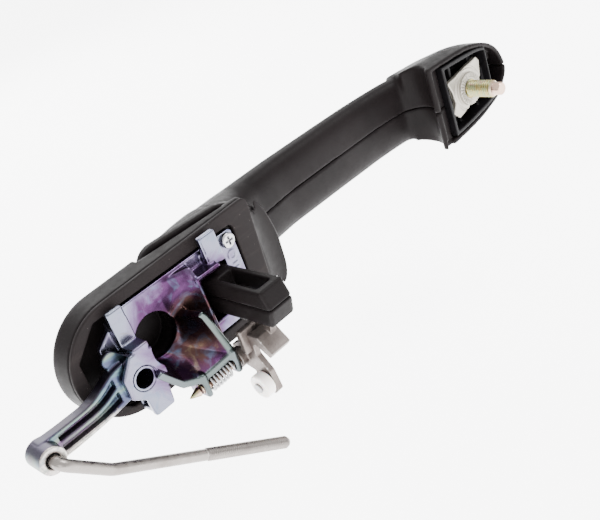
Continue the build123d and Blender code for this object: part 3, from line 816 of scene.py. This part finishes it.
def make_grip(material):
    """Upper and lower mouldings, parted on the middle plane."""
    low, high = GRIP_BOX
    g = Grid(low, high, GRIP_STEP)
    body = grip_field(g)
    seam = np.float32(SEAM_HALF_GAP)
    middle = int(round(-low[2] / GRIP_STEP))
    for name, node, first, last, side in (
            ("grip_upper_moulding", "grip_upper_half", middle - 2, None, -1),
            ("grip_lower_moulding", "grip_lower_half", 0, middle + 3, 1)):
        part = Grid((low[0], low[1], low[2] + GRIP_STEP * first), high, GRIP_STEP)
        z = g.z[:, :, first:last]
        half = np.maximum(body[:, :, first:last], side * z + seam)
        place_piece(field_object(name, half, part, material, 2), node)


# --- lock plate and gasket ---------------------------------------------------------------------
PLATE = ([(-55.0, 24.3)] + arc((12.5, 0.0), 22.5, 90, -90, 48) + [(-52.0, -24.3)]
         + arc((-52.0, -21.3), 3.0, 270, 180, 5) + arc((-55.0, 21.3), 3.0, 180, 90, 5))
FLARE = curve([(-48.0, 24.9), (-58.0, 23.6), (-64.0, 20.7), (-69.4, 12.5), (-72.0, 0.0), (-71.9, -10.0),
               (-70.9, -18.0), (-67.6, -23.2), (-60.0, -24.9), (-48.0, -24.9)], 5)
GASKET_HOLE = [(-47.4, 17.0), (19.0, 17.0), (29.0, 8.0), (29.0, -8.0), (19.0, -17.0), (-46.4, -17.0)]
HOLLOW = [(-14, 18), (12, 18.5), (28, 12), (28, -12), (12, -18.5), (-14, -18)]
GASKET = 2.0
PLATE_FACE_Y = -12.5
HOLLOW_DEPTH = -7.5
CYLINDER_WALL = 24.0
CYLINDER_BORE = 19.0
CYLINDER_DEPTH = -10.0
SCREW_HOLE_DEPTH = -5.2
# x, then z of each screw
SCREWS = (-42.5, (14.0, -14.0))
# x from, x to, half height
WINDOW = (-38.6, -22.0, 10.0)


def polygon_round(u, v, points, radius):
    """Outline shrunk and grown again, so that its outward corners are round."""
    centre_u = sum(p[0] for p in points) / len(points)
    centre_v = sum(p[1] for p in points) / len(points)
    reach = max(np.hypot(p[0] - centre_u, p[1] - centre_v) for p in points)
    keep = 1 - radius / reach
    shrunk = [(centre_u + (p[0] - centre_u) * keep, centre_v + (p[1] - centre_v) * keep)
              for p in points]
    return polygon(u, v, shrunk, radius)


def plate_field(g):
    outline = polygon(g.x, g.z, PLATE)
    walls = outline - 0.8 * np.clip((-2.0 - g.y) / 8.0, 0, 1)
    back = np.where(g.x > WEDGE[0][0], np.float32(PLATE_FACE_Y), wedge_back(g.x, 0.0))
    body = overlap(walls, back - g.y, 2.2)
    body = np.maximum(body, g.y + GASKET)
    rim = polygon(g.x, g.z, FLARE)
    t = np.clip(outline / np.maximum(outline - rim, 0.5), 0, 1)
    top = -2.4 - 5.6 * (1 - (1 - t) ** 2)
    flare = overlap(overlap(rim, g.y - top, 1.0), back - g.y, 0.6)
    flare = np.maximum(flare, g.x + 50.0)
    body = union(body, flare, 0.6)
    hollow = plate(polygon_round(g.x, g.z, HOLLOW, 3.0), g.y, HOLLOW_DEPTH, 4.0, 0.5)
    body = np.maximum(body, -hollow)
    body = union(body, plate(disc(g.x, g.z, 0, 0, CYLINDER_WALL), g.y, -10.5, -GASKET), 0.3)
    bore = disc(g.x, g.z, 0, 0, CYLINDER_BORE)
    body = np.maximum(body, -np.maximum(bore, CYLINDER_DEPTH - g.y))
    body = np.maximum(body, -block(g, WINDOW[0] - 2.5, WINDOW[1], -20, 4, -WINDOW[2], WINDOW[2], 0.5))
    for z in SCREWS[1]:
        hole = disc(g.x, g.z, SCREWS[0], z, 3.5)
        body = np.maximum(body, -np.maximum(hole, SCREW_HOLE_DEPTH - g.y))
    return body


def make_plate(material):
    g = Grid((-74.0, -14.0, -27.2), (37.6, -1.2, 27.2), 0.4)
    obj = field_object("lock_plate_moulding", plate_field(g), g, material, 2)
    place_piece(obj, "lock_plate")


def make_gasket(material):
    g = Grid((-60.0, -3.0, -26.0), (37.0, 1.0, 26.0), 0.35)
    ring = plate(polygon(g.x, g.z, PLATE), g.y, -GASKET, 0.0, 0.45)
    hole = polygon_round(g.x, g.z, GASKET_HOLE, 2.0)
    obj = field_object("plate_gasket_moulding", np.maximum(ring, -hole), g, material, 1)
    place_piece(obj, "plate_gasket")


# --- die-cast carrier --------------------------------------------------------------------------
BASE = [(-46, 16.5), (9, 16.5), (21, 8), (21, -10), (13, -16.5), (-46, -16.5)]
RIM_OUTER = [(12, -6), (5, -16), (-3, -19.8), (-20, -19.8), (-14, 2), (-9, 9), (6, 9)]
RIM_INNER = [(10, -5), (4, -13.6), (-3.4, -17.3), (-16.8, -17.3), (-11.8, 1.5), (-8, 7), (5, 7)]
KEPT = [(14, -6.5), (-15, 4.5), (-40, 4.5), (-40, -40), (14, -40)]
BRIDGE = [(6.8, 3.2), (17, 5.4), (22.5, -1), (22.5, -9), (17.5, -12.6), (17.0, -20.4),
          (9.4, -20.4), (8.6, -13), (6.8, -11)]
BORE = 17.0
BORE_RELIEF = 17.4
FUNNEL_ROOT = 25.0
RIM_TOP = 14.0
BRIDGE_Y = (8.4, 10.8)
# x, z of the lock lever's pivot and y, z of the release pin's
LEVER = (15.5, -5.0)
PIN = (11.0, -23.6)
# x from, x to, root z, tip z
LUGS = ((-37.0, -29.0, 9.0, 22.9), (8.6, 15.4, 4.2, 20.0))
PIN_POSTS = ((-4.2, -1.8), (-19.6, -16.8))


def funnel_field(g):
    """Bowl wall that runs from a circle round the bore out to the rim."""
    rise = np.clip((g.y + 0.5) / 14.5, 0, 1.1)
    root = disc(g.x, g.z, 0, 0, FUNNEL_ROOT)
    outer = (1 - rise) * root + rise * polygon_round(g.x, g.z, RIM_OUTER, 1.8) - 0.2
    bore = disc(g.x, g.z, 0, 0, BORE_RELIEF)
    inner = (1 - rise) * bore + rise * polygon_round(g.x, g.z, RIM_INNER, 1.4)
    wall = overlap(outer, -inner, 0.5)
    wall = np.maximum(overlap(wall, g.y - RIM_TOP, 0.6), -0.5 - g.y)
    wall = overlap(wall, polygon(g.x, g.z, KEPT), 0.5)
    hub_room = np.maximum(np.maximum(disc(g.x, g.z, *LEVER, 16.2), 0.5 - g.y), g.y - BRIDGE_Y[0])
    return cut(wall, hub_room, 0.4)


def carrier_field(g):
    body = plate(polygon_round(g.x, g.z, BASE, 1.5), g.y, -GASKET, 0.5, 0.4)
    rim = block(g, -37.0, -19.8, -GASKET, 3.5, -11.6, 11.6, 0.6)
    body = union(body, rim, 0.8)
    climb = np.clip((-8.0 - g.x) / 12.5, 0, 1)
    ramp_top = 0.5 + 7.0 * climb ** 1.7 * (1 - 0.45 * np.clip((g.z - 9.0) / 7.0, 0, 1))
    ramp = overlap((g.y - ramp_top) * 0.8, block(g, -21.8, -7.0, -GASKET, 9.0, -14.0, 16.2, 0.6), 1.0)
    body = union(body, ramp, 0.8)
    body = union(body, block(g, -32.0, -20.0, -GASKET, 7.3, 9.6, 12.0, 0.7), 1.2)
    body = union(body, funnel_field(g), 1.6)
    for x0, x1, root, tip in LUGS:
        tongue = block(g, x0, x1, 1.6, 4.2, root, tip, 0.6)
        heel = block(g, x0, x1, -GASKET, 4.2, root, 15.5, 0.6)
        body = union(body, union(tongue, heel, 0.6), 0.6)
    strap = plate(polygon_round(g.x, g.z, BRIDGE, 0.8), g.y, *BRIDGE_Y, 0.6)
    strap = union(strap, block(g, 9.4, 17.0, 0.8, BRIDGE_Y[1], -20.4, -18.0, 0.5), 0.8)
    strap = union(strap, block(g, 9.4, 17.0, 0.8, 2.6, -18.5, -15.0, 0.4), 0.4)
    strap = union(strap, block(g, 9.4, 13.0, -0.5, 2.6, -16.4, -14.0, 0.4), 0.4)
    strap = union(strap, block(g, 8.6, 15.4, 1.6, BRIDGE_Y[1], 4.2, 6.6, 0.5), 0.8)
    body = union(body, strap, 0.3)
    for x0, x1 in PIN_POSTS:
        post = block(g, x0, x1, 3.5, PIN[0] + 4.0, PIN[1] - 3.2, -16.5, 1.1)
        body = union(body, post, 0.8)
    ring = np.abs(np.hypot(g.x + 42.4, g.z - 7.6) - 1.7) - 0.35
    bars = np.minimum(block(g, -44.0, -41.0, 0.3, 0.95, 3.4, 4.2, 0.2),
                      block(g, -44.0, -41.0, 0.3, 0.95, 1.6, 2.4, 0.2))
    body = union(body, np.minimum(np.maximum(ring, np.abs(g.y - 0.6) - 0.35), bars), 0.3)
    body = np.maximum(body, -np.maximum(disc(g.x, g.z, 0, 0, BORE), g.y - 6.5))
    relief = np.maximum(5.5 - g.y, g.y - 12.0)
    body = np.maximum(body, -np.maximum(disc(g.x, g.z, 0, 0, BORE_RELIEF), relief))
    body = cut(body, block(g, WINDOW[0], WINDOW[1], -8, 8, -WINDOW[2], WINDOW[2], 0.6), 0.5)
    body = np.maximum(body, -np.maximum(disc(g.x, g.z, *LEVER, 9.0), g.y - 12.0))
    body = np.maximum(body, -disc(g.y, g.z, *PIN, 4.0))
    for z in SCREWS[1]:
        body = np.maximum(body, -disc(g.x, g.z, SCREWS[0], z, 3.9))
    return body


def make_carrier(material):
    g = Grid((-47.6, -3.15, -28.35), (24.15, 16.1, 24.15), 0.35)
    obj = field_object("lock_carrier_casting", carrier_field(g), g, material, 3)
    place_piece(obj, "lock_carrier")


# --- small parts -------------------------------------------------------------------------------
EYE = (56.5, -6.5)
STUD = (-203.0, 0.5)
ROD_Y = 17.0
ROD_PITCH = 1.0
STUD_PITCH = 1.25
# coil radius, wire radius
RELEASE_COIL = (3.25, 0.60)
LEVER_COIL = (5.7, 0.42)
NUT_PLATE = [(-189.8, 8.6), (-194.0, 8.9), (-214.0, 11.6), (-215.4, 9.6), (-213.5, 2.0), (-200.0, -8.2),
             (-192.4, -9.6), (-189.4, -6.6), (-192.4, -2.4), (-191.6, 4.0)]


def creased(obj, degrees=38.0):
    obj.data.set_sharp_from_angle(angle=radians(degrees))
    return obj


def bent(points, radii, steps=10):
    """Polyline with its corners rounded."""
    line = [Vector(points[0])]
    for before, corner, after, radius in zip(points, points[1:], points[2:], radii):
        corner = Vector(corner)
        back = (Vector(before) - corner).normalized()
        ahead = (Vector(after) - corner).normalized()
        reach = radius / max(0.05, np.tan(back.angle(ahead) / 2))
        start, end = corner + back * reach, corner + ahead * reach
        for i in range(steps + 1):
            t = i / steps
            line.append(start * (1 - t) ** 2 + corner * 2 * t * (1 - t) + end * t ** 2)
    return line + [Vector(points[-1])]


def polar(angle, length):
    return (-length * cos(radians(angle)), length * sin(radians(angle)))


def make_rod(material):
    first = polar(-46.0, 20.0)
    kink = (EYE[0] + first[0], EYE[1] + first[1])
    second = polar(-34.0, 38.0)
    end = (kink[0] + second[0], kink[1] + second[1])
    way = Vector((second[0], 0, second[1])).normalized()
    corners = [(EYE[0], 3.0, EYE[1]), (EYE[0], ROD_Y, EYE[1]),
               (kink[0], ROD_Y, kink[1]), (end[0], ROD_Y, end[1])]
    line = bent(corners, (3.4, 14.0))
    head = Vector((0, 1, 0))
    line = [line[0], line[0] + head * 0.15, line[0] + head * 0.5] + line[1:]
    shank = tube(line, [1.5, 1.95, 2.2] + [2.2] * (len(line) - 3), 24)
    stations = [(-0.1, 2.2, False), (0.6, 2.2, False), (1.2, 2.48, True), (39.8, 2.48, True),
                (41.0, 1.9, False)]
    points, faces = turned(stations, ROD_PITCH, 0.5, 36)
    thread = (placed(points, (end[0], ROD_Y, end[1]), way), faces)
    obj = creased(mesh_object("pull_rod_wire", *joined([shank, thread]), material), 50.0)
    place_piece(obj, "pull_rod")


def make_stud(material):
    stations = [(-9.4, 5.9, False), (-9.0, 6.3, False), (-6.8, 6.3, False), (-6.4, 6.1, False),
                (-6.4, 4.4, False), (-0.5, 4.4, False), (-0.4, 3.98, True), (11.9, 3.98, True),
                (12.5, 3.2, False), (12.6, 3.0, False), (16.5, 3.0, False), (17.0, 2.6, False)]
    points, faces = turned(stations, STUD_PITCH, 0.68, 48)
    points = placed(points, (STUD[0], 0, STUD[1]), (0, 1, 0))
    obj = creased(mesh_object("foot_stud_threaded", points, faces, material), 50.0)
    place_piece(obj, "foot_stud")


def make_nut_plate(material):
    g = Grid((-216.2, -5.2, -10.6), (-188.6, 0.4, 12.6), 0.2)
    body = plate(polygon_round(g.x, g.z, NUT_PLATE, 0.8), g.y, -4.6, -2.2, 0.4)
    away = np.hypot(g.x - STUD[0], g.z - STUD[1])
    turn = np.arctan2(g.z - STUD[1], g.x - STUD[0])
    teeth = -0.62 + 0.24 * np.cos(30 * turn) * np.clip((away - 4.8) / 0.6, 0, 1)
    ring = overlap(away - 7.75, g.y - teeth, 0.3)
    body = union(body, np.maximum(ring, -4.6 - g.y), 0.3)
    ledge = np.abs(away - 10.2) - 0.5
    body = np.maximum(body, -np.maximum(ledge, -2.6 - g.y))
    body = np.maximum(body, -(away - 4.42))
    place_piece(field_object("foot_nut_plate_cast", body, g, material, 1), "foot_nut_plate")


def make_lever(material):
    g = Grid((7.0, 1.8, -15.0), (63.0, 14.0, 11.2), 0.28)
    body = plate(disc(g.x, g.z, *LEVER, 14.5), g.y, 2.9, 7.9, 0.5)
    t = np.clip(((g.x - 17.0) * 4.5 + (g.z + 2.0) * 7.6) / (4.5 ** 2 + 7.6 ** 2), 0, 1)
    lobe = np.hypot(g.x - 17.0 - 4.5 * t, g.z + 2.0 - 7.6 * t) - (4.5 - 1.3 * t)
    body = union(body, plate(lobe, g.y, 2.9, 5.4, 0.5), 0.6)
    edge = curve([(19.0, 3.6), (25.0, 2.6), (35.0, -1.4), (45.0, -1.9), (56.5, -1.6)], 4)
    under = curve([(56.5, -11.4), (48.0, -11.9), (33.0, -11.4), (25.0, -10.6), (19.0, -10.0)], 4)
    arm = plate(polygon(g.x, g.z, edge + under), g.y, 2.9, 7.9, 0.6)
    upper = (curve([(25.0, 0.6), (34.0, -3.0), (50.0, -3.6)], 4)
             + curve([(50.0, -5.6), (34.0, -5.4), (25.0, -2.6)], 4))
    lower = (curve([(25.0, -4.6), (34.0, -7.2), (50.0, -7.4)], 4)
             + curve([(50.0, -9.8), (34.0, -9.8), (25.0, -8.4)], 4))
    for channel in (upper, lower):
        arm = cut(arm, np.maximum(polygon(g.x, g.z, channel), 4.9 - g.y), 0.9)
    body = union(body, arm, 0.8)
    eye = plate(disc(g.x, g.z, *EYE, 10.0), g.y, 2.4, 13.0, 0.6)
    body = union(body, eye, 0.9)
    body = np.maximum(body, -disc(g.x, g.z, *LEVER, 9.1))
    body = cut(body, disc(g.x, g.z, *EYE, 5.4), 0.3)
    obj = field_object("lock_lever_casting", body, g, material, 2)
    place_piece(obj, "lock_lever")


def coil(centre, axis, radius, start, end, turns, steps=36):
    """Points of a helix along X or Y."""
    line = []
    for i in range(int(turns * steps) + 1):
        angle = 2 * pi * i / steps
        along = start + (end - start) * i / (turns * steps)
        a, b = centre[0] + radius * cos(angle), centre[1] + radius * sin(angle)
        line.append((a, along, b) if axis == "Y" else (along, a, b))
    return line


def make_springs(material):
    radius, wire = RELEASE_COIL
    line = coil(PIN, "X", radius, -15.9, -5.2, 6.5)
    obj = creased(mesh_object("release_spring_wire", *tube(line, wire, 14), material))
    place_piece(obj, "release_spring")
    radius, wire = LEVER_COIL
    line = coil(LEVER, "Y", radius, 1.0, 2.2, 1.8, 48)
    obj = creased(mesh_object("lever_spring_wire", *tube(line, wire, 12), material))
    place_piece(obj, "lock_lever_spring")


def make_release_pin(material):
    stations = [(-29.2, 2.6, False), (-28.9, 3.1, False), (-28.4, 3.2, False), (-27.2, 3.2, False),
                (-26.8, 2.9, False), (-26.8, 1.99, False), (-1.9, 1.99, False), (-1.6, 1.7, False),
                (-0.9, 1.7, False), (-0.5, 1.95, False), (2.6, 0.75, False), (3.7, 0.22, False)]
    points, faces = turned(stations)
    points = placed(points, (0, PIN[0], PIN[1]), (1, 0, 0))
    obj = creased(mesh_object("release_pin_turned", points, faces, material))
    place_piece(obj, "release_pin")


def make_release_rib(material):
    """Stiffening wall between the release lever's hub and its flange."""
    g = Grid((-33.5, 15.0, -21.0), (-19.0, 21.0, -8.0), 0.25)
    body = block(g, -32.0, -20.5, 16.6, 19.4, -19.6, -9.6, 0.7)
    body = cut(body, block(g, -30.2, -26.4, 18.4, 22.0, -17.8, -11.2, 0.6), 0.4)
    obj = field_object("release_lever_rib", body, g, material, 2)
    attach(obj, frame["nodes"]["release_lever"]["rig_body"])


def make_small_parts(materials):
    make_release_rib(materials["cast_lever"])
    make_rod(materials["rod_steel"])
    make_lever(materials["lever_zinc"])
    make_stud(materials["yellow_steel"])
    make_nut_plate(materials["raw_zinc"])
    make_springs(materials["spring_wire"])
    make_release_pin(materials["yellow_steel"])
    for name, node, key, voxel, rounds in (
            ("release_lever_casting", "release_lever", "cast_lever", 0.24, 5),
            ("foot_insert_moulding", "foot_insert", "insert_black", 0.30, 4),
            ("release_roller_cap", "release_roller", "white_plastic", 0.20, 5),
            ("roller_pin_rivet", "roller_pin", "spring_wire", 0.14, 4),
            ("lever_sleeve_bush", "lever_sleeve", "passivated_zinc", 0.20, 4),
            ("carrier_screw_heads", "carrier_screws", "zinc_screw", 0.13, 3)):
        obj = softened(name, node, materials[key], voxel, rounds)
        place_piece(obj, node)


add_camera()
add_studio()
MATERIALS = make_materials()
SLOTS = node_slots()
for name, node in frame["nodes"].items():
    if name in SLOTS:
        assign(node, MATERIALS[SLOTS[name]])
assign(frame["nodes"]["lock_lever"], MATERIALS["lever_zinc"])
make_grip(MATERIALS["moulded_black"])
make_plate(MATERIALS["moulded_black"])
make_gasket(MATERIALS["gasket_rubber"])
make_carrier(MATERIALS["passivated_zinc"])
make_small_parts(MATERIALS)
